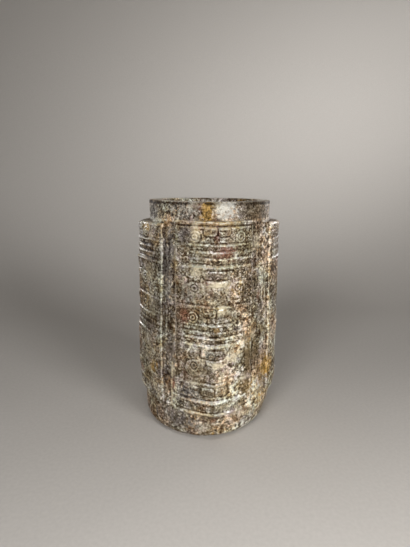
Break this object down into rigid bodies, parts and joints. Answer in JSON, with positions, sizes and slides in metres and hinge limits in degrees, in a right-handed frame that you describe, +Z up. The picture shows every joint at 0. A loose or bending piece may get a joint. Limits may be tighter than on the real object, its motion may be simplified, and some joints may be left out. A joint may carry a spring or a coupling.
{
  "type": "cong tube",
  "caption": "Carved jade cong: a round bored tube with plain collars at both ends and square corner blocks between them, carved with masks and bands in registers. Stands on its wide end.",
  "frame": {"origin": "centre of the foot, where the lower collar stands on its surface", "axes": "+Z up along the tube's axis, -Y out of the front ridge, +X out of the right ridge"},
  "size_m": [0.1026, 0.1026, 0.15],
  "materials": {
    "jade": "weathered and speckled grey-brown jade, with cream, ochre and rust stains and a soft worn polish on its edges"
  },
  "bodies": {
    "root": {"upper_collar": "jade", "tube_wall": "jade", "lower_collar": "jade", "corner_block_front": "jade", "corner_block_right": "jade", "corner_block_back": "jade", "corner_block_left": "jade", "bands_front": "jade", "bands_right": "jade", "bands_back": "jade", "bands_left": "jade", "noses_front": "jade", "noses_right": "jade", "noses_back": "jade", "noses_left": "jade", "brow_panels_front": "jade", "brow_panels_right": "jade", "brow_panels_back": "jade", "brow_panels_left": "jade", "beast_eyes_front": "jade", "beast_eyes_right": "jade", "beast_eyes_back": "jade", "beast_eyes_left": "jade", "face_eyes_front": "jade", "face_eyes_right": "jade", "face_eyes_back": "jade", "face_eyes_left": "jade"}
  },
  "joints": []
}
